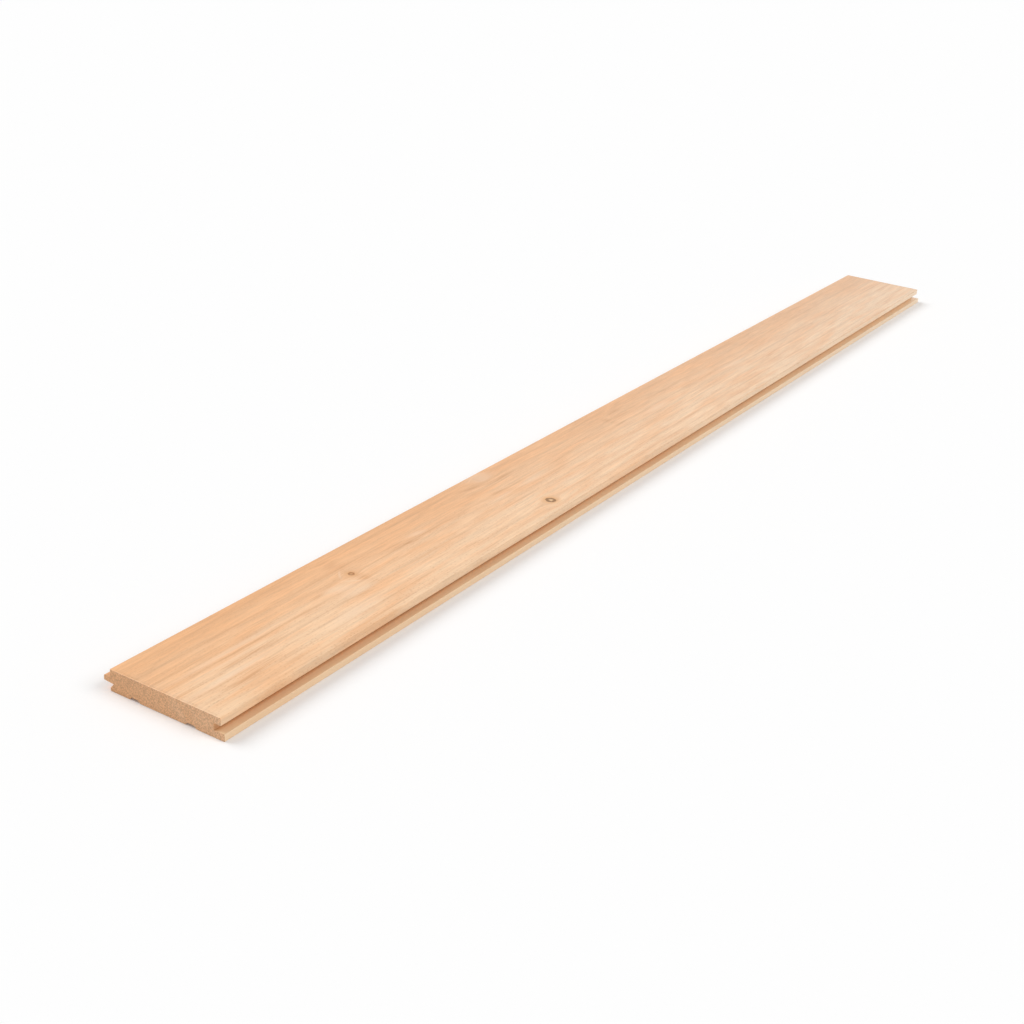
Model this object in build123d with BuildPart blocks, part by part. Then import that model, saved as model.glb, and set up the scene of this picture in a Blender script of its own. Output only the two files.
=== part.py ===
from build123d import *
import os

# A planed tongue and groove board, one piece of solid hardwood, lying face up.
#
# +X runs along the board, +Y towards the tongue and +Z up to the face. The origin is on the
# underside, in the middle of the length and of the overall width. Sizes are in millimetres.
#
# The section is one outline, drawn seen from the end: a face with eased arrises, a tongue on the
# +Y edge, a groove on the -Y edge whose lower lip stands out past the face, and two relief
# grooves planed along the underside.

# board
board_length = 1600.0
board_thickness = 20.0
face_width = 116.0
face_arris_radius = 0.6
back_arris_chamfer = 0.5

# groove on the -Y edge
groove_depth = 7.0  # from the face edge
upper_lip_thickness = 7.3
groove_height = 6.2
groove_corner_radius = 0.8
groove_mouth_chamfer = 0.5
lower_lip_projection = 4.0  # past the face edge

# tongue on the +Y edge
tongue_length = 7.0  # past the face edge
tongue_play_above = 0.1
tongue_play_below = 0.5
tongue_taper = 0.9  # how much the underside of the tongue rises towards its tip
tongue_tip_radius = 1.0

# undercut below the tongue, which slopes back out to the line of the face edge
undercut_depth = 3.5
lower_shoulder_height = 3.0

# relief grooves in the underside
relief_mouth_width = 11.5
relief_ceiling_width = 7.0
relief_depth = 2.2
relief_corner_radius = 0.6
relief_from_shoulder = 26.5  # centre line, from the face edge over the tongue
relief_from_face_edge = 30.5  # centre line, from the face edge over the groove

# lines of the section, worked out from the sizes above
overall_width = lower_lip_projection + face_width + tongue_length
lower_lip_y = -overall_width / 2
face_edge_y = lower_lip_y + lower_lip_projection
shoulder_y = face_edge_y + face_width
tongue_tip_y = shoulder_y + tongue_length

groove_ceiling_z = board_thickness - upper_lip_thickness
groove_floor_z = groove_ceiling_z - groove_height
groove_back_y = face_edge_y + groove_depth

tongue_top_z = groove_ceiling_z - tongue_play_above
tongue_root_z = groove_floor_z + tongue_play_below
tongue_tip_z = tongue_root_z + tongue_taper
tongue_root_y = shoulder_y - undercut_depth

relief_lines_y = (face_edge_y + relief_from_face_edge, shoulder_y - relief_from_shoulder)

same_point = 1e-4


def corners(sketch, *places):
    """The corners of the section at the given (y, z) places.

    The section's own x and y are the board's Y and Z.
    """
    found = []
    for corner_y, corner_z in places:
        found += sketch.vertices().filter_by(
            lambda corner: abs(corner.X - corner_y) < same_point and abs(corner.Y - corner_z) < same_point
        )
    return found


with BuildPart() as board:
    with BuildSketch(Plane.YZ.offset(-board_length / 2)) as section:
        with BuildLine():
            Polyline(
                (lower_lip_y, 0),
                (shoulder_y, 0),
                (shoulder_y, lower_shoulder_height),
                (tongue_root_y, tongue_root_z),
                (tongue_tip_y, tongue_tip_z),
                (tongue_tip_y, tongue_top_z),
                (shoulder_y, tongue_top_z),
                (shoulder_y, board_thickness),
                (face_edge_y, board_thickness),
                (face_edge_y, groove_ceiling_z),
                (groove_back_y, groove_ceiling_z),
                (groove_back_y, groove_floor_z),
                (lower_lip_y, groove_floor_z),
                close=True,
            )
        make_face()

        # relief grooves, planed in the underside with sloping sides
        for relief_y in relief_lines_y:
            with BuildLine():
                Polyline(
                    (relief_y - relief_mouth_width / 2, 0),
                    (relief_y - relief_ceiling_width / 2, relief_depth),
                    (relief_y + relief_ceiling_width / 2, relief_depth),
                    (relief_y + relief_mouth_width / 2, 0),
                    close=True,
                )
            make_face(mode=Mode.SUBTRACT)

        # inner corners rounded by the cutters
        for relief_y in relief_lines_y:
            relief_left = (relief_y - relief_ceiling_width / 2, relief_depth)
            relief_right = (relief_y + relief_ceiling_width / 2, relief_depth)
            fillet(corners(section, relief_left, relief_right), relief_corner_radius)
        groove_inner = [(groove_back_y, groove_ceiling_z), (groove_back_y, groove_floor_z)]
        fillet(corners(section, *groove_inner), groove_corner_radius)

        # outer corners eased by the planer
        tongue_tip = [(tongue_tip_y, tongue_top_z), (tongue_tip_y, tongue_tip_z)]
        fillet(corners(section, *tongue_tip), tongue_tip_radius)
        face_arrises = [(face_edge_y, board_thickness), (shoulder_y, board_thickness)]
        fillet(corners(section, *face_arrises), face_arris_radius)
        chamfer(corners(section, (lower_lip_y, groove_floor_z)), groove_mouth_chamfer)
        back_arrises = [(lower_lip_y, 0), (shoulder_y, 0)]
        chamfer(corners(section, *back_arrises), back_arris_chamfer)
    extrude(amount=board_length)

board.part.label = "board"

os.makedirs("parts", exist_ok=True)
export_step(board.part, "parts/board.step")
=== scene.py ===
import math
import random

import bmesh
import bpy
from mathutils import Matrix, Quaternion, Vector


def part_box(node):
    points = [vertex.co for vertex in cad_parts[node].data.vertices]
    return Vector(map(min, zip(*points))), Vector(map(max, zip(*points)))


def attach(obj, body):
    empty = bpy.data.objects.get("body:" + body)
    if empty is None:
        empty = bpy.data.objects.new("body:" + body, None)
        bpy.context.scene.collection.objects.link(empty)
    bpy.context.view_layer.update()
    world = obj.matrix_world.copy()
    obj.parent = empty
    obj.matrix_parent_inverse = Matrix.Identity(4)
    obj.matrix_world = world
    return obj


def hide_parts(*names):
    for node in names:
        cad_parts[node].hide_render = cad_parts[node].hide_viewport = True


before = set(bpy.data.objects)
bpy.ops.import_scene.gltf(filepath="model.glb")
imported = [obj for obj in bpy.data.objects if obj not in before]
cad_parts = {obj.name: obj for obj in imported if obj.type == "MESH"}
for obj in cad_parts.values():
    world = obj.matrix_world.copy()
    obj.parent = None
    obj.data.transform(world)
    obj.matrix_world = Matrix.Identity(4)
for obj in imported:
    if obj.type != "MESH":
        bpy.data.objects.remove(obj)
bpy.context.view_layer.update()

# A planed tongue and groove board in steamed beech, lying face up on a white floor. Everything is in
# metres in the frame's axes: X along the board, Y towards the tongue, Z up to the face. Patterns
# in the wood are worked out in millimetres on the same axes, so they run through the board as the
# real figure does, and the face, the edges and the sawn ends agree.

MM = 0.001
IN_LINE = 0.01 * MM  # what is nearer than this to a plane lies in it

low_corner, high_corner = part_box("board")
near_end_x = low_corner.x
far_end_x = high_corner.x
face_z = high_corner.z

# the board's own lines, in mm
FACE_MM = face_z / MM
NEAR_END_MM = near_end_x / MM
FAR_END_MM = far_end_x / MM
GROOVE_CEILING_MM = 12.7  # above the floor
GROOVE_BACK_MM = 52.5  # from the middle of the overall width

# the camera, as the photograph was taken
AIM = Vector((-0.3188, -0.0145, 0.010))
VIEW_DISTANCE = 1.5479
VIEW_AZIMUTH = math.radians(-59.17)
VIEW_ELEVATION = math.radians(24.26)
VIEW_ROLL = math.radians(4.05)
LENS_MM = 53.56
SENSOR_MM = 36.0

# the lamps: name, azimuth and elevation in degrees, and how much light each gives a white floor,
# where 1 would make it as bright as its colour
SOFTBOXES = (("key", 98, 47, 0.35), ("fill", 290, 43, 0.20))
SOFTBOX_WIDTH = math.radians(34)
DOME_STRENGTH = 0.44

FLOOR_SIZE = 30.0
FLOOR_LIFT = 0.045  # for the camera alone

# the pith of the tree, in mm in the board's section: below the board and past its tongue
PITH = (0.0, 95.0, -62.0)
PITH_TO_RING = 96.5  # from the pith to the first ring line that the face cuts
PITH_TO_MIDDLE = 130.0  # from the pith to about the middle of the board
RING_WIDTH = 10.2

# The sizes of the patterns in the wood, in mm: along the trunk, out from the pith and round it. Rays
# are 0.1 to 0.2 mm thick and pores 0.1 mm across, which is too fine to show, so the flecks are drawn
# about 0.6 mm thick and 2 mm high, and the pores 0.6 mm across.
RING_DRIFT = (420, 70, 70)
RING_WAVER = (75, 12, 12)
LINE_GAPS = (130, 8, 30)
WARM_CLOUDS = (150, 16, 60)
RED_PATCHES = (85, 10, 26)
BANDS = (120, 3.2, 34)
FIBRES = (26, 1.1, 7)
RAYS = (3.8, 8.0, 1.1)
PORES = (1.2, 1.2, 1.2)

# a noise lies between these values nearly everywhere
NOISE_LOW = 0.3
NOISE_HIGH = 0.7

WOOD_IOR = 1.53  # of the cell walls

# knots in the face, in mm from the middle of the board; lean is how far the knot's axis moves in Y
# for each mm that it goes down, and swirl is how wide the bent grain is, in radii of the knot
RING_KNOT = dict(x=-286.4, y=-40.2, radius=5.2, lean=0.15, swirl=2.3)
PIN_KNOT = dict(x=-548.0, y=13.0, radius=3.2, lean=0.1, swirl=2.4)
BURIED_KNOT = dict(x=-287.0, y=46.0, radius=6.0, lean=0.2, swirl=2.0)  # doesn't break the face
KNOTS = (RING_KNOT, PIN_KNOT, BURIED_KNOT)

# Streaks in the face: place, length and width in mm, slope in degrees, and how strongly they colour
# the wood. The dark ones are mineral streaks and gum lines; the pale ones are sapwood.
STREAK_DEPTH = 12.0
DARK_STREAKS = (
    dict(x=-716, y=-12.6, length=125, width=5.5, slope=1, strength=0.42),
    dict(x=-745, y=-35.5, length=115, width=9, slope=2, strength=0.40),
    dict(x=-725, y=-30.8, length=110, width=2.2, slope=0, strength=0.35),
    dict(x=-700, y=-1.8, length=150, width=2.8, slope=0, strength=0.35),
    dict(x=-676, y=-27.0, length=55, width=3, slope=0, strength=0.3),
    dict(x=-600, y=8.0, length=22, width=4.5, slope=0, strength=0.4),
    dict(x=-575, y=-18.0, length=60, width=2.6, slope=-8, strength=0.25),
    dict(x=-547, y=32.0, length=26, width=40, slope=0, strength=0.3),
    dict(x=-546, y=4.0, length=18, width=26, slope=0, strength=0.45),
    dict(x=-546, y=-11.0, length=18, width=4.5, slope=0, strength=0.3),
    dict(x=-472, y=13.5, length=60, width=13, slope=-6, strength=0.45),
    dict(x=-459, y=10.5, length=40, width=4.5, slope=-9, strength=0.75),
    dict(x=-467, y=12.4, length=12, width=3, slope=-6, strength=0.7),
    dict(x=-368, y=14.5, length=56, width=4.6, slope=-3, strength=0.3),
    dict(x=-303, y=11.0, length=46, width=7, slope=-12, strength=0.5),
    dict(x=-315, y=38.5, length=50, width=7, slope=-9, strength=0.45),
    dict(x=-270, y=32.0, length=64, width=7, slope=-3, strength=0.5),
    dict(x=-60, y=-37.5, length=90, width=4, slope=-1, strength=0.3),
    dict(x=-46, y=27.0, length=16, width=30, slope=0, strength=0.3),
    dict(x=-40, y=11.5, length=34, width=5, slope=0, strength=0.4),
    dict(x=-13, y=36.5, length=42, width=5, slope=0, strength=0.5),
    dict(x=-25, y=35.5, length=9, width=2.6, slope=0, strength=0.6),
    dict(x=-25, y=24.0, length=70, width=4.5, slope=0, strength=0.35),
    dict(x=133, y=10.5, length=44, width=9, slope=-4, strength=0.35),
    dict(x=235, y=13.5, length=50, width=3.5, slope=-4, strength=0.4),
    dict(x=324, y=-16.5, length=26, width=5, slope=0, strength=0.35),
    dict(x=500, y=-3.5, length=26, width=6, slope=0, strength=0.3),
    dict(x=530, y=38.0, length=130, width=40, slope=0, strength=0.22),
)
PALE_STREAKS = (
    dict(x=-745, y=-22.5, length=130, width=8, slope=1, strength=0.55),
    dict(x=-720, y=3.5, length=170, width=7, slope=0, strength=0.4),
    dict(x=-735, y=-7.5, length=120, width=4, slope=0, strength=0.3),
    dict(x=-575, y=1.5, length=52, width=15, slope=-16, strength=0.45),
    dict(x=-556, y=18.5, length=22, width=3.4, slope=42, strength=0.36),
    dict(x=-557, y=3.5, length=30, width=3.4, slope=-42, strength=0.46),
    dict(x=-600, y=-33.0, length=100, width=18, slope=2, strength=0.4),
    dict(x=-570, y=-11.0, length=50, width=12, slope=-6, strength=0.4),
    dict(x=-440, y=17.5, length=32, width=9, slope=-8, strength=0.4),
    dict(x=-312, y=3.0, length=56, width=7, slope=0, strength=0.35),
    dict(x=-255, y=4.0, length=60, width=9, slope=2, strength=0.35),
    dict(x=-288, y=47.5, length=54, width=15, slope=-6, strength=0.38),
    dict(x=-210, y=-26.0, length=150, width=7, slope=1, strength=0.25),
    dict(x=35, y=4.5, length=70, width=12, slope=0, strength=0.4),
    dict(x=-8, y=-29.0, length=30, width=9, slope=0, strength=0.3),
    dict(x=250, y=6.0, length=90, width=10, slope=-3, strength=0.35),
)


def linear(hex_colour):
    """An sRGB hex colour as linear RGBA."""
    channels = [int(hex_colour[i:i + 2], 16) / 255 for i in (1, 3, 5)]
    return (*[c / 12.92 if c <= 0.04045 else ((c + 0.055) / 1.055) ** 2.4 for c in channels], 1.0)


def bare_material(name):
    """A new material with no nodes yet, and its node tree."""
    material = bpy.data.materials.new(name)
    material.use_nodes = True
    material.node_tree.nodes.clear()
    return material, material.node_tree


def add_node(tree, kind, inputs=None, give=0, **settings):
    """Adds a node with its settings and its inputs, which are values or links, and gives one output.

    Inputs go by number where numbers are plainer. In a Map Range, 0 is the value, 1 and 2 are where
    it comes from, and 3 and 4 are where it goes to. In a Math node they are its values in turn.
    """
    made = tree.nodes.new(kind)
    for name, value in settings.items():
        setattr(made, name, value)
    for place, source in (inputs or {}).items():
        if isinstance(source, bpy.types.NodeSocket):
            tree.links.new(source, made.inputs[place])
        else:
            made.inputs[place].default_value = source
    return made.outputs[give] if made.outputs else made


# the sockets of a colour Mix node
MIX_FACTOR = 0
MIX_A = 6
MIX_B = 7
MIX_RESULT = 2


def from_knot(tree, place, knot):
    """Where a place lies from a knot's middle in the face, and how far sideways of its leaning axis."""
    centre = (knot["x"], knot["y"], FACE_MM)
    offset = add_node(tree, "ShaderNodeVectorMath", {0: place, 1: centre}, operation="SUBTRACT")
    across = (0.0, 1.0, knot["lean"])
    sideways = add_node(tree, "ShaderNodeVectorMath", {0: offset, 1: across}, "Value",
                        operation="DOT_PRODUCT")
    return offset, sideways


def bent_round_knot(tree, place, knot):
    """Moves the grain aside where it flows round a knot, in a swirl that is longer along the grain."""
    swirl_length = 2.2  # times its width
    reach = knot["radius"] * knot["swirl"] / 2
    offset, sideways = from_knot(tree, place, knot)
    along = add_node(tree, "ShaderNodeVectorMath", {0: offset, 1: (1 / swirl_length, 0, 0)}, "Value",
                     operation="DOT_PRODUCT")
    along_squared = add_node(tree, "ShaderNodeMath", {0: along, 1: along}, operation="MULTIPLY")
    squared = add_node(tree, "ShaderNodeMath", {0: sideways, 1: sideways, 2: along_squared},
                       operation="MULTIPLY_ADD")
    outside = add_node(tree, "ShaderNodeMath", {0: squared, 1: reach ** 2}, operation="MAXIMUM")
    pull = add_node(tree, "ShaderNodeMath", {0: -reach ** 2, 1: outside}, operation="DIVIDE")
    shift = add_node(tree, "ShaderNodeMath", {0: sideways, 1: pull}, operation="MULTIPLY")
    return add_node(tree, "ShaderNodeVectorMath", {0: shift, 1: (0.0, 1.0, 0.0), 2: place},
                    operation="MULTIPLY_ADD")


def wood_grain(tree, place):
    """The place in the tree, in mm: along the trunk, out from the pith and round it, and out alone."""
    section = add_node(tree, "ShaderNodeVectorMath", {0: place, 1: PITH}, operation="SUBTRACT")
    trunk_x, trunk_y, trunk_z = add_node(tree, "ShaderNodeSeparateXYZ", {0: section}).node.outputs
    flat = add_node(tree, "ShaderNodeCombineXYZ", {1: trunk_y, 2: trunk_z})
    distance = add_node(tree, "ShaderNodeVectorMath", {0: flat}, "Value", operation="LENGTH")
    turn = add_node(tree, "ShaderNodeMath", {0: trunk_z, 1: trunk_y}, operation="ARCTAN2")
    round_pith = add_node(tree, "ShaderNodeMath", {0: turn, 1: PITH_TO_MIDDLE}, operation="MULTIPLY")

    # a trunk isn't turned on a lathe: its rings waver by a millimetre or two along the board
    drift_mm = 6.0
    waver_mm = 2.4
    drift_place = add_node(tree, "ShaderNodeVectorMath", {0: place, 1: RING_DRIFT}, operation="DIVIDE")
    drift = add_node(tree, "ShaderNodeTexNoise", {
        "Vector": drift_place, "Scale": 1.0, "Detail": 1.0,
    }, "Fac")
    waver_place = add_node(tree, "ShaderNodeVectorMath", {0: place, 1: RING_WAVER}, operation="DIVIDE")
    waver = add_node(tree, "ShaderNodeTexNoise", {
        "Vector": waver_place, "Scale": 1.0, "Detail": 2.0,
    }, "Fac")
    drifted = add_node(tree, "ShaderNodeMath", {0: drift, 1: drift_mm, 2: distance},
                       operation="MULTIPLY_ADD")
    wavering = add_node(tree, "ShaderNodeMath", {0: waver, 1: waver_mm, 2: drifted},
                        operation="MULTIPLY_ADD")
    out = add_node(tree, "ShaderNodeMath", {0: wavering, 1: (drift_mm + waver_mm) / 2},
                   operation="SUBTRACT")
    return add_node(tree, "ShaderNodeCombineXYZ", {0: trunk_x, 1: out, 2: round_pith}), out


def ring_lines(tree, grain, out):
    """The thin dark late wood at each ring's edge, from 0 to 1, which comes and goes along the board."""
    from_first = add_node(tree, "ShaderNodeMath", {0: out, 1: PITH_TO_RING}, operation="SUBTRACT")
    count = add_node(tree, "ShaderNodeMath", {0: from_first, 1: RING_WIDTH}, operation="DIVIDE")
    inside = add_node(tree, "ShaderNodeMath", {0: count}, operation="FRACT")
    # it darkens slowly over the last fifth of a ring, and the next one starts pale at once
    rising = add_node(tree, "ShaderNodeMapRange", {0: inside, 1: 0.78, 2: 0.985, 3: 0.0, 4: 1.0},
                      interpolation_type="SMOOTHSTEP")
    falling = add_node(tree, "ShaderNodeMapRange", {0: inside, 1: 0.0, 2: 0.09, 3: 1.0, 4: 0.0},
                       interpolation_type="SMOOTHSTEP")
    line = add_node(tree, "ShaderNodeMath", {0: rising, 1: falling}, operation="MAXIMUM")
    gap_place = add_node(tree, "ShaderNodeVectorMath", {0: grain, 1: LINE_GAPS}, operation="DIVIDE")
    gaps = add_node(tree, "ShaderNodeTexNoise", {
        "Vector": gap_place, "Scale": 1.0, "Detail": 2.0,
    }, "Fac")
    shown = add_node(tree, "ShaderNodeMapRange", {0: gaps, 1: 0.36, 2: 0.66, 3: 0.18, 4: 1.0})
    return add_node(tree, "ShaderNodeMath", {0: line, 1: shown}, operation="MULTIPLY")


def streaks(tree, place, marks):
    """How strongly the streaks colour a place: most in their middles, and nothing past their edges."""
    soft_edge = 1.25  # where a streak ends, in halves of its length and width
    strongest = None
    for mark in marks:
        turned = add_node(tree, "ShaderNodeMapping", {
            "Vector": place,
            "Location": (mark["x"], mark["y"], FACE_MM),
            "Rotation": (0, 0, math.radians(mark["slope"])),
            "Scale": (mark["length"] / 2, mark["width"] / 2, STREAK_DEPTH),
        }, vector_type="TEXTURE")
        distance = add_node(tree, "ShaderNodeVectorMath", {0: turned}, "Value", operation="LENGTH")
        strength = add_node(tree, "ShaderNodeMapRange", {
            0: distance, 1: 0.0, 2: soft_edge, 3: mark["strength"], 4: 0.0,
        }, interpolation_type="SMOOTHSTEP")
        if strongest is None:
            strongest = strength
        else:
            strongest = add_node(tree, "ShaderNodeMath", {0: strongest, 1: strength},
                                 operation="MAXIMUM")
    return strongest


def open_knot(tree, place, colour, knot, heart, rim, halo):
    """A knot that shows: a warm halo, a dark ring of bark and a paler heart, with a ragged outline.

    heart, rim and halo are its colours. How far out each one lies is in radii of the knot.
    """
    radius = knot["radius"]
    lobes = 1.1  # to a radius of its outline
    raggedness = 0.75  # of a radius
    ragged = add_node(tree, "ShaderNodeTexNoise", {
        "Vector": place, "Scale": lobes / radius, "Detail": 3.0,
    }, "Color")
    either_way = add_node(tree, "ShaderNodeVectorMath", {0: ragged, 1: (0.5, 0.5, 0.5)},
                          operation="SUBTRACT")
    moved = add_node(tree, "ShaderNodeVectorMath", {
        0: either_way, 1: (radius * raggedness,) * 3, 2: place,
    }, operation="MULTIPLY_ADD")
    offset, sideways = from_knot(tree, moved, knot)
    along = add_node(tree, "ShaderNodeVectorMath", {0: offset, 1: (1, 0, 0)}, "Value",
                     operation="DOT_PRODUCT")
    flat = add_node(tree, "ShaderNodeCombineXYZ", {0: along, 1: sideways})
    distance = add_node(tree, "ShaderNodeVectorMath", {0: flat}, "Value", operation="LENGTH")
    radii_out = add_node(tree, "ShaderNodeMath", {0: distance, 1: radius}, operation="DIVIDE")
    warmed = add_node(tree, "ShaderNodeMapRange", {0: radii_out, 1: 1.0, 2: 2.7, 3: 0.6, 4: 0.0},
                      interpolation_type="SMOOTHSTEP")
    colour = add_node(tree, "ShaderNodeMix", {
        MIX_FACTOR: warmed, MIX_A: colour, MIX_B: linear(halo),
    }, MIX_RESULT, data_type="RGBA")
    in_rim = add_node(tree, "ShaderNodeMapRange", {0: radii_out, 1: 0.22, 2: 0.62, 3: 0.0, 4: 1.0},
                      interpolation_type="SMOOTHSTEP")
    knot_colour = add_node(tree, "ShaderNodeMix", {
        MIX_FACTOR: in_rim, MIX_A: linear(heart), MIX_B: linear(rim),
    }, MIX_RESULT, data_type="RGBA")
    in_knot = add_node(tree, "ShaderNodeMapRange", {0: radii_out, 1: 0.9, 2: 1.12, 3: 1.0, 4: 0.0},
                       interpolation_type="SMOOTHSTEP")
    return add_node(tree, "ShaderNodeMix", {
        MIX_FACTOR: in_knot, MIX_A: colour, MIX_B: knot_colour,
    }, MIX_RESULT, data_type="RGBA")


def ground_colour(tree, grain, out):
    """The wood between its marks: warm towards the heart, over the tongue, with redder patches."""
    heart_side, sap_side = 70.0, 126.0  # mm out from the pith
    cloud_shift = -34.0  # mm by which a cloud moves the border between the two
    cloud_place = add_node(tree, "ShaderNodeVectorMath", {0: grain, 1: WARM_CLOUDS}, operation="DIVIDE")
    cloud = add_node(tree, "ShaderNodeTexNoise", {
        "Vector": cloud_place, "Scale": 1.0, "Detail": 3.0,
    }, "Fac")
    clouded = add_node(tree, "ShaderNodeMath", {0: cloud, 1: cloud_shift, 2: out},
                       operation="MULTIPLY_ADD")
    warmth = add_node(tree, "ShaderNodeMapRange", {
        0: clouded, 1: sap_side, 2: heart_side, 3: 0.0, 4: 1.0,
    })
    colour = add_node(tree, "ShaderNodeMix", {
        MIX_FACTOR: warmth, MIX_A: linear("#f6cda3"), MIX_B: linear("#e9ae77"),
    }, MIX_RESULT, data_type="RGBA")
    patch_place = add_node(tree, "ShaderNodeVectorMath", {0: grain, 1: RED_PATCHES}, operation="DIVIDE")
    patch = add_node(tree, "ShaderNodeTexNoise", {
        "Vector": patch_place, "Scale": 1.0, "Detail": 2.0,
    }, "Fac")
    patched = add_node(tree, "ShaderNodeMapRange", {0: patch, 1: 0.40, 2: 0.66, 3: 0.0, 4: 0.62})
    return add_node(tree, "ShaderNodeMix", {
        MIX_FACTOR: patched, MIX_A: colour, MIX_B: linear("#f0b27a"),
    }, MIX_RESULT, data_type="RGBA")


def bands_and_fibres(tree, grain):
    """The bands within each ring and the fibres in them, as noises, and the shade that both give."""
    band_place = add_node(tree, "ShaderNodeVectorMath", {0: grain, 1: BANDS}, operation="DIVIDE")
    bands = add_node(tree, "ShaderNodeTexNoise", {
        "Vector": band_place, "Scale": 1.0, "Detail": 2.0,
    }, "Fac")
    banded = add_node(tree, "ShaderNodeMapRange", {
        0: bands, 1: NOISE_LOW, 2: NOISE_HIGH, 3: 0.94, 4: 1.05,
    })
    fibre_place = add_node(tree, "ShaderNodeVectorMath", {0: grain, 1: FIBRES}, operation="DIVIDE")
    fibres = add_node(tree, "ShaderNodeTexNoise", {
        "Vector": fibre_place, "Scale": 1.0, "Detail": 3.0,
    }, "Fac")
    fibred = add_node(tree, "ShaderNodeMapRange", {
        0: fibres, 1: NOISE_LOW, 2: NOISE_HIGH, 3: 0.92, 4: 1.08,
    })
    shade = add_node(tree, "ShaderNodeMath", {0: banded, 1: fibred}, operation="MULTIPLY")
    return bands, fibres, shade


def ray_flecks(tree, grain, bands):
    """The ends and sides of the rays, from 0 to 0.38, which show more in the darker bands."""
    ray_place = add_node(tree, "ShaderNodeVectorMath", {0: grain, 1: RAYS}, operation="DIVIDE")
    distance = add_node(tree, "ShaderNodeTexVoronoi", {"Vector": ray_place, "Scale": 1.0}, "Distance")
    strength = add_node(tree, "ShaderNodeMapRange", {
        0: bands, 1: NOISE_LOW, 2: NOISE_HIGH, 3: 0.38, 4: 0.10,
    })
    return add_node(tree, "ShaderNodeMapRange", {0: distance, 1: 0.14, 2: 0.40, 3: strength, 4: 0.0},
                    interpolation_type="SMOOTHSTEP")


def beech_figure(tree):
    """The wood's place in mm and its colour right through the board, with its fibres and its flecks."""
    place_m = add_node(tree, "ShaderNodeTexCoord", give="Object")
    place = add_node(tree, "ShaderNodeVectorMath", {0: place_m, "Scale": 1 / MM}, operation="SCALE")
    flowing = place
    for knot in KNOTS:
        flowing = bent_round_knot(tree, flowing, knot)
    grain, out = wood_grain(tree, flowing)
    colour = ground_colour(tree, grain, out)

    lines = ring_lines(tree, grain, out)
    lined = add_node(tree, "ShaderNodeMath", {0: lines, 1: 0.37}, operation="MULTIPLY")
    colour = add_node(tree, "ShaderNodeMix", {
        MIX_FACTOR: lined, MIX_A: colour, MIX_B: linear("#d39a66"),
    }, MIX_RESULT, data_type="RGBA")
    bands, fibres, shade = bands_and_fibres(tree, grain)
    colour = add_node(tree, "ShaderNodeMix", {
        MIX_FACTOR: 1.0, MIX_A: colour, MIX_B: shade,
    }, MIX_RESULT, data_type="RGBA", blend_type="MULTIPLY")
    flecks = ray_flecks(tree, grain, bands)
    colour = add_node(tree, "ShaderNodeMix", {
        MIX_FACTOR: flecks, MIX_A: colour, MIX_B: linear("#c98f5e"),
    }, MIX_RESULT, data_type="RGBA")

    # pale streaks, and dark ones that are broken up by the fibres that they follow
    pale = streaks(tree, flowing, PALE_STREAKS)
    colour = add_node(tree, "ShaderNodeMix", {
        MIX_FACTOR: pale, MIX_A: colour, MIX_B: linear("#fad9b8"),
    }, MIX_RESULT, data_type="RGBA")
    broken = add_node(tree, "ShaderNodeMapRange", {0: fibres, 1: 0.3, 2: 0.62, 3: 1.5, 4: 0.45})
    dark = streaks(tree, flowing, DARK_STREAKS)
    darkened = add_node(tree, "ShaderNodeMath", {0: dark, 1: broken}, operation="MULTIPLY",
                        use_clamp=True)
    colour = add_node(tree, "ShaderNodeMix", {
        MIX_FACTOR: darkened, MIX_A: colour, MIX_B: linear("#cd8e54"),
    }, MIX_RESULT, data_type="RGBA")

    colour = open_knot(tree, place, colour, RING_KNOT, heart="#e9bd8a", rim="#92601c", halo="#e6a968")
    colour = open_knot(tree, place, colour, PIN_KNOT, heart="#d29a62", rim="#ad6f2c", halo="#dfa468")
    return place, colour, fibres, flecks


def finish_wood(tree, colour, relief, depth_mm, roughness):
    """Gives the wood its shader, with the relief that the planer or the saw left, at its depth."""
    bump = add_node(tree, "ShaderNodeBump", {
        "Height": relief, "Distance": depth_mm * MM, "Strength": 0.5,
    })
    skin = add_node(tree, "ShaderNodeBsdfPrincipled", {
        "Base Color": colour, "Roughness": roughness, "IOR": WOOD_IOR, "Normal": bump,
    })
    add_node(tree, "ShaderNodeOutputMaterial", {"Surface": skin})


def groove_shade_and_light(tree, across, up, colour):
    """The groove painted with shade and light: painted shade darkens its back, and a painted highlight
    makes the lower lip pale.
    """
    cover = 0.7  # how far it hides the wood's own colour
    above_back = add_node(tree, "ShaderNodeMapRange", {0: up, 1: 0.1, 2: 0.5, 3: 0.0, 4: cover})
    below_ceiling = add_node(tree, "ShaderNodeMapRange", {
        0: up, 1: GROOVE_CEILING_MM - 0.2, 2: GROOVE_CEILING_MM + 0.2, 3: above_back, 4: 0.0,
    })
    groove_side = add_node(tree, "ShaderNodeMath", {0: across, 1: -1.0}, operation="MULTIPLY")
    groove_paint_mask = add_node(tree, "ShaderNodeMapRange", {
        0: groove_side, 1: GROOVE_BACK_MM - 0.3, 2: GROOVE_BACK_MM + 0.3, 3: 0.0, 4: below_ceiling,
    })
    on_lip = add_node(tree, "ShaderNodeMapRange", {
        0: groove_side, 1: GROOVE_BACK_MM + 0.5, 2: GROOVE_BACK_MM + 4.5, 3: 0.0, 4: 1.0,
    })
    # painted shade at the groove's back, turning to painted light on the lower lip
    groove_shade_and_light_colour = add_node(tree, "ShaderNodeMix", {
        MIX_FACTOR: on_lip, MIX_A: linear("#cb9f6f"), MIX_B: linear("#ffddb3"),
    }, MIX_RESULT, data_type="RGBA")
    return add_node(tree, "ShaderNodeMix", {
        MIX_FACTOR: groove_paint_mask, MIX_A: colour, MIX_B: groove_shade_and_light_colour,
    }, MIX_RESULT, data_type="RGBA")


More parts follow.
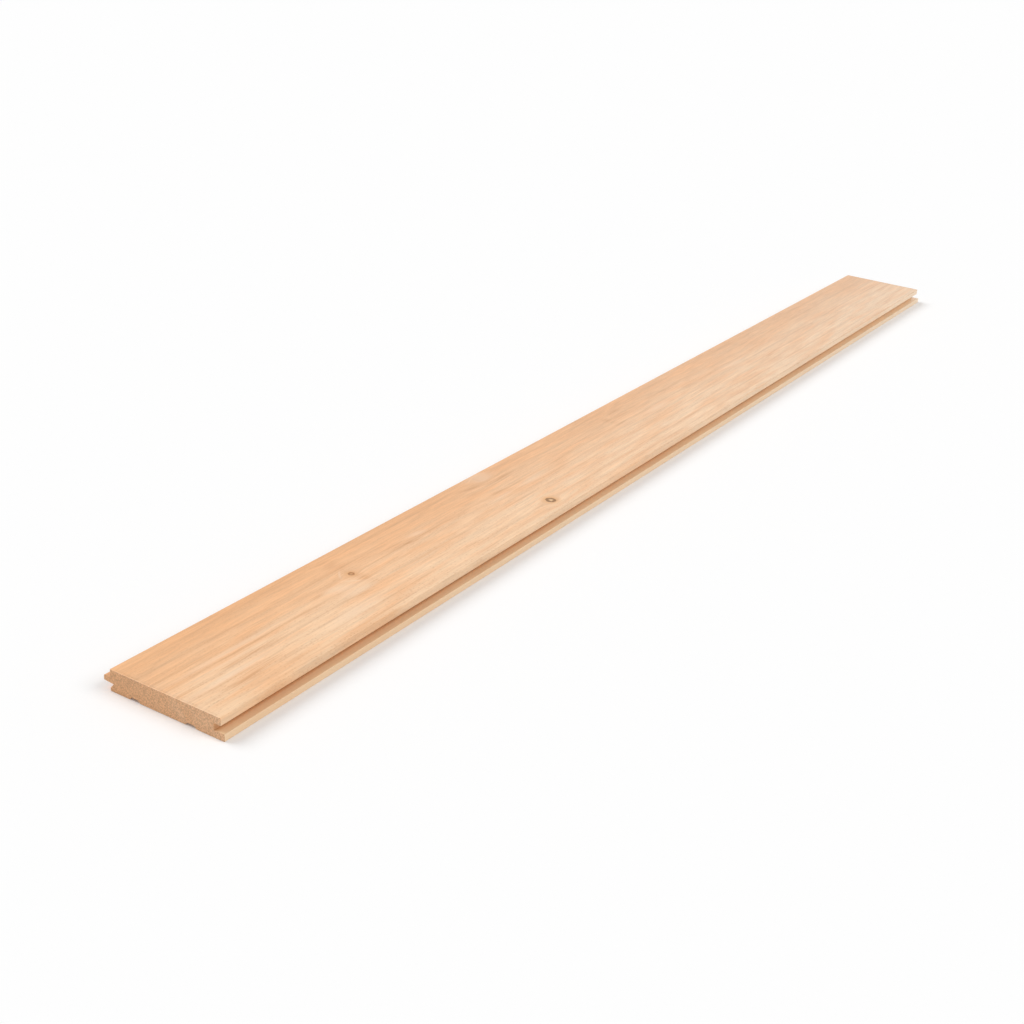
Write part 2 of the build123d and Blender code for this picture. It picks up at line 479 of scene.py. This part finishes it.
def planed_beech():
    """Steamed beech as it leaves the planer, bare.

    To the eye it is even and peach pink, with short flecks and a dull sheen.
    """
    material, tree = bare_material("planed_beech")
    place, colour, fibres, flecks = beech_figure(tree)
    along, across, up = add_node(tree, "ShaderNodeSeparateXYZ", {0: place}).node.outputs

    # painted shade: the face is painted a shade darker and greyer towards the far end, as if less light
    # fell there
    far_shade_from = NEAR_END_MM + 300
    in_face = add_node(tree, "ShaderNodeMapRange", {
        0: up, 1: FACE_MM - 1.0, 2: FACE_MM - 0.3, 3: 0.0, 4: 1.0,
    })
    painted_far_shade = add_node(tree, "ShaderNodeMapRange", {
        0: along, 1: far_shade_from, 2: FAR_END_MM, 3: 0.0, 4: in_face,
    })
    colour = add_node(tree, "ShaderNodeMix", {
        MIX_FACTOR: painted_far_shade, MIX_A: colour, MIX_B: linear("#f3f8ff"),
    }, MIX_RESULT, data_type="RGBA", blend_type="MULTIPLY")
    # painted shade in the groove's back and painted light on its lower lip
    colour = groove_shade_and_light(tree, across, up, colour)

    # painted sheen: the edges below the face are painted paler, most of all towards the far end
    sheen_from = NEAR_END_MM + 200
    in_edge = add_node(tree, "ShaderNodeMapRange", {
        0: up, 1: FACE_MM - 1.4, 2: FACE_MM - 0.8, 3: 1.0, 4: 0.0,
    })
    painted_sheen_ramp = add_node(tree, "ShaderNodeMapRange", {
        0: along, 1: sheen_from, 2: FAR_END_MM, 3: 0.0, 4: in_edge,
    })
    # how strongly the painted sheen pales the edges
    pale = add_node(tree, "ShaderNodeMath", {0: painted_sheen_ramp, 1: 0.55}, operation="MULTIPLY")
    colour = add_node(tree, "ShaderNodeMix", {
        MIX_FACTOR: pale, MIX_A: colour, MIX_B: linear("#ffe8c9"),
    }, MIX_RESULT, data_type="RGBA")

    # the rays lie a little lower than the fibres
    relief = add_node(tree, "ShaderNodeMath", {0: flecks, 1: -1.5, 2: fibres},
                      operation="MULTIPLY_ADD")
    finish_wood(tree, colour, relief, depth_mm=0.06, roughness=0.33)
    return material


def sawn_beech_end():
    """The same beech cross-cut by a fine saw.

    The pores' open ends hold shade, so to the eye it is speckled, duller and darker.
    """
    material, tree = bare_material("sawn_beech_end")
    place, colour, *_ = beech_figure(tree)
    # end grain soaks up dirt and light alike, which evens out its colour
    colour = add_node(tree, "ShaderNodeMix", {
        MIX_FACTOR: 0.68, MIX_A: colour, MIX_B: linear("#e3b085"),
    }, MIX_RESULT, data_type="RGBA")
    pore_place = add_node(tree, "ShaderNodeVectorMath", {0: place, 1: PORES}, operation="DIVIDE")
    pores = add_node(tree, "ShaderNodeTexNoise", {
        "Vector": pore_place, "Scale": 1.0, "Detail": 4.0,
    }, "Fac")
    shade = add_node(tree, "ShaderNodeMapRange", {
        0: pores, 1: NOISE_LOW, 2: NOISE_HIGH, 3: 0.72, 4: 1.22,
    })
    colour = add_node(tree, "ShaderNodeMix", {
        MIX_FACTOR: 1.0, MIX_A: colour, MIX_B: shade,
    }, MIX_RESULT, data_type="RGBA", blend_type="MULTIPLY")
    finish_wood(tree, colour, pores, depth_mm=0.2, roughness=0.8)
    return material


def edited_shape(piece):
    """The shape of the piece in edit mode, with its vertices numbered afresh."""
    shape = bmesh.from_edit_mesh(piece.data)
    shape.verts.index_update()
    shape.verts.ensure_lookup_table()
    return shape


def select_where(piece, kind, chosen):
    """Selects the vertices, edges or faces of the piece in edit mode for which chosen() holds."""
    bpy.ops.mesh.select_mode(type=kind)
    bpy.ops.mesh.select_all(action="DESELECT")
    shape = edited_shape(piece)
    for element in {"VERT": shape.verts, "EDGE": shape.edges, "FACE": shape.faces}[kind]:
        if chosen(element):
            element.select_set(True)
    shape.select_flush_mode()
    bmesh.update_edit_mesh(piece.data)


def cut_patch(piece, knot, half_length, half_width, cell):
    """Cuts a rectangle of the face round a knot into small squares, so that it can be shaped."""
    x, y = knot["x"] * MM, knot["y"] * MM

    def holds_knot(face):
        xs = [v.co.x for v in face.verts]
        ys = [v.co.y for v in face.verts]
        in_board_face = face.normal.z > 0.999 and face.calc_center_median().z > face_z - 0.05 * MM
        return in_board_face and min(xs) < x < max(xs) and min(ys) < y < max(ys)

    for place, normal in (
        ((x - half_length, 0, 0), (1, 0, 0)),
        ((x + half_length, 0, 0), (1, 0, 0)),
        ((0, y - half_width, 0), (0, 1, 0)),
        ((0, y + half_width, 0), (0, 1, 0)),
    ):
        select_where(piece, "FACE", holds_knot)
        bpy.ops.mesh.bisect(plane_co=place, plane_no=normal)
    select_where(piece, "FACE", holds_knot)
    bpy.ops.mesh.subdivide(number_cuts=round(2 * half_length / cell))


def sink_ring(piece, knot, inner, outer, depth, soft):
    """Lets the face down between two radii round a knot, with soft edges, as wood shrinks there."""
    centre = Vector((knot["x"] * MM, knot["y"] * MM, face_z))

    def in_ring(vertex):
        away = vertex.co - centre
        return abs(away.z) < 0.3 * MM and inner <= away.length <= outer

    select_where(piece, "VERT", in_ring)
    bpy.ops.transform.translate(value=(0, 0, -depth), use_proportional_edit=True,
                                proportional_edit_falloff="SMOOTH", proportional_size=soft)


def ease_sawn_end(piece, end_x, inwards):
    """Eases the edge round a sawn end, and gives the X at which its outline then lies.

    inwards is 1 or -1, the way into the board along X.
    """
    eased = 0.3 * MM
    strip = 2.0 * MM  # beyond it the long faces keep their own corners
    edge_step = 1.6 * MM  # about how far apart the outline's points come to lie
    outline_x = end_x + inwards * eased

    def lies_in(element, plane_x):
        return all(abs(v.co.x - plane_x) < IN_LINE for v in element.verts)

    bpy.ops.mesh.select_mode(type="FACE")
    bpy.ops.mesh.select_all(action="SELECT")
    bpy.ops.mesh.bisect(plane_co=(end_x + inwards * strip, 0, 0), plane_no=(1, 0, 0))
    select_where(piece, "FACE", lambda f: lies_in(f, end_x))
    bpy.ops.mesh.inset(thickness=eased, use_even_offset=True)
    shape = edited_shape(piece)
    end_faces = [f for f in shape.faces if lies_in(f, end_x)]
    inner = {v.index for v in max(end_faces, key=lambda f: f.calc_area()).verts}
    select_where(piece, "VERT", lambda v: abs(v.co.x - end_x) < IN_LINE and v.index not in inner)
    bpy.ops.transform.translate(value=(inwards * eased, 0, 0))

    # the longest edges are cut into the most pieces
    for pieces in (16, 8, 4, 2):
        shortest = pieces * edge_step
        select_where(piece, "EDGE", lambda e: lies_in(e, outline_x) and e.calc_length() > shortest)
        bpy.ops.mesh.subdivide(number_cuts=pieces - 1)
    return outline_x


def tear_sawn_end(piece, outline_x, inwards, chips, seed):
    """Makes the outline of a sawn end ragged, and tears out chips where the saw left the wood.

    Most of the chips are on the underside, where the saw broke out, and the rest are on the face.
    """
    nudges = (0.06 * MM, 0.10 * MM, 0.14 * MM)  # each to a quarter of the outline's points
    shallow_chip, deep_chip = 0.2, 0.6  # mm
    chip_length = 1.6  # times its depth
    face_chip = 0.5  # how deep it goes on the face, times its depth below
    share_below = 0.75
    lowest_y = low_corner.y + 3 * MM
    highest_y = high_corner.y - 10 * MM
    draw = random.Random(seed)
    shape = edited_shape(piece)
    outline = [v.index for v in shape.verts if abs(v.co.x - outline_x) < IN_LINE]
    for nudge in nudges:
        torn = set(draw.sample(outline, len(outline) // 4))
        select_where(piece, "VERT", lambda v: v.index in torn)
        bpy.ops.transform.translate(value=(inwards * nudge, 0, 0))
    for _ in range(chips):
        depth = draw.uniform(shallow_chip, deep_chip) * MM
        below = draw.random() < share_below
        y = draw.uniform(lowest_y, highest_y)
        middle = Vector((outline_x, y, low_corner.z if below else high_corner.z))
        shape = edited_shape(piece)
        close = sorted(outline, key=lambda i: (shape.verts[i].co - middle).length)
        torn = set(close[:draw.choice((1, 2, 2, 3))])
        select_where(piece, "VERT", lambda v: v.index in torn)
        rise = depth if below else -depth * face_chip
        bpy.ops.transform.translate(value=(inwards * depth * chip_length, 0, rise))


def planed_board():
    """The board: the frame's own section, with broken sawn ends and its knots sunk in the face."""
    piece = bpy.data.objects.new("planed_board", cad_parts["board"].data.copy())
    bpy.context.scene.collection.objects.link(piece)
    bpy.context.view_layer.objects.active = piece
    piece.select_set(True)
    bpy.ops.object.mode_set(mode="EDIT")
    bpy.ops.mesh.select_all(action="SELECT")
    bpy.ops.mesh.remove_doubles(threshold=0.001 * MM)
    bpy.ops.mesh.customdata_custom_splitnormals_clear()
    bpy.ops.mesh.dissolve_limited(angle_limit=math.radians(0.5))
    near_outline_x = ease_sawn_end(piece, near_end_x, inwards=1)
    tear_sawn_end(piece, near_outline_x, inwards=1, chips=34, seed=11)
    far_outline_x = ease_sawn_end(piece, far_end_x, inwards=-1)
    tear_sawn_end(piece, far_outline_x, inwards=-1, chips=20, seed=23)
    cut_patch(piece, RING_KNOT, half_length=13 * MM, half_width=12 * MM, cell=0.55 * MM)
    sink_ring(piece, RING_KNOT, inner=3.4 * MM, outer=5.0 * MM, depth=0.16 * MM, soft=2.2 * MM)
    cut_patch(piece, PIN_KNOT, half_length=5 * MM, half_width=5 * MM, cell=0.35 * MM)
    sink_ring(piece, PIN_KNOT, inner=0.0, outer=1.9 * MM, depth=0.12 * MM, soft=1.6 * MM)
    bpy.ops.mesh.select_all(action="SELECT")
    bpy.ops.mesh.normals_make_consistent(inside=False)
    bpy.ops.object.mode_set(mode="OBJECT")

    piece.data.materials.clear()
    piece.data.materials.append(planed_beech())
    piece.data.materials.append(sawn_beech_end())
    for face in piece.data.polygons:
        in_sawn_end = abs(face.normal.x) > 0.5
        face.material_index = 1 if in_sawn_end else 0
    bpy.ops.object.shade_smooth_by_angle(angle=math.radians(30))
    piece.modifiers.new("flat faces stay flat", "WEIGHTED_NORMAL").keep_sharp = True
    bpy.ops.object.modifier_apply(modifier="flat faces stay flat")
    piece.select_set(False)
    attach(piece, "root")
    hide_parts("board")


def seen_white(tree):
    """1 for what the camera sees straight or in a gloss, and 0 for what lights the board."""
    path = add_node(tree, "ShaderNodeLightPath").node.outputs
    return add_node(tree, "ShaderNodeMath", {0: path["Is Camera Ray"], 1: path["Is Glossy Ray"]},
                    operation="MAXIMUM")


def white_floor():
    """A white floor, lifted a little for the camera so that it is white up to the shadow's edge."""
    bpy.ops.mesh.primitive_plane_add(size=FLOOR_SIZE, location=(0, 0, 0))
    floor = bpy.context.object
    floor.name = "floor"
    material, tree = bare_material("white_floor")
    seen = seen_white(tree)
    paint = add_node(tree, "ShaderNodeBsdfDiffuse", {"Color": linear("#fafafa")})
    lift = add_node(tree, "ShaderNodeEmission", {"Color": linear("#ffffff"), "Strength": FLOOR_LIFT})
    both = add_node(tree, "ShaderNodeAddShader", {0: paint, 1: lift})
    mixed = add_node(tree, "ShaderNodeMixShader", {0: seen, 1: paint, 2: both})
    add_node(tree, "ShaderNodeOutputMaterial", {"Surface": mixed})
    floor.data.materials.append(material)


def studio_light():
    """A white dome, a broad soft lamp behind the board and a weaker one in front of it."""
    world = bpy.data.worlds.new("white_studio")
    bpy.context.scene.world = world
    world.use_nodes = True
    tree = world.node_tree
    tree.nodes.clear()
    seen = seen_white(tree)
    dome = add_node(tree, "ShaderNodeBackground", {
        "Color": linear("#ffffff"), "Strength": DOME_STRENGTH,
    })
    white = add_node(tree, "ShaderNodeBackground", {"Color": linear("#ffffff"), "Strength": 1.0})
    mixed = add_node(tree, "ShaderNodeMixShader", {0: seen, 1: dome, 2: white})
    add_node(tree, "ShaderNodeOutputWorld", {"Surface": mixed})
    for name, azimuth, elevation, share in SOFTBOXES:
        turn, rise = math.radians(azimuth), math.radians(elevation)
        bpy.ops.object.light_add(type="SUN", location=(0, 0, 2))
        lamp = bpy.context.object
        lamp.name = name + "_softbox"
        lamp.data.energy = share * math.pi / math.sin(rise)  # so that it gives the floor that share
        lamp.data.angle = SOFTBOX_WIDTH
        towards = Vector((
            math.cos(turn) * math.cos(rise),
            math.sin(turn) * math.cos(rise),
            math.sin(rise),
        ))
        lamp.rotation_mode = "QUATERNION"
        lamp.rotation_quaternion = towards.to_track_quat("Z", "Y")


def photo_camera():
    """The photograph's camera, which looks down the board from beyond its near end."""
    back = Vector((
        math.sin(VIEW_AZIMUTH) * math.cos(VIEW_ELEVATION),
        -math.cos(VIEW_AZIMUTH) * math.cos(VIEW_ELEVATION),
        math.sin(VIEW_ELEVATION),
    ))
    bpy.ops.object.camera_add(location=AIM + back * VIEW_DISTANCE)
    camera = bpy.context.object
    camera.data.lens = LENS_MM
    camera.data.sensor_width = SENSOR_MM
    camera.rotation_mode = "QUATERNION"
    camera.rotation_quaternion = (-back).to_track_quat("-Z", "Y") @ Quaternion((0, 0, 1), VIEW_ROLL)
    bpy.context.scene.camera = camera


bpy.ops.object.select_all(action="DESELECT")
planed_board()
white_floor()
studio_light()
photo_camera()
bpy.context.scene.view_settings.view_transform = "Standard"
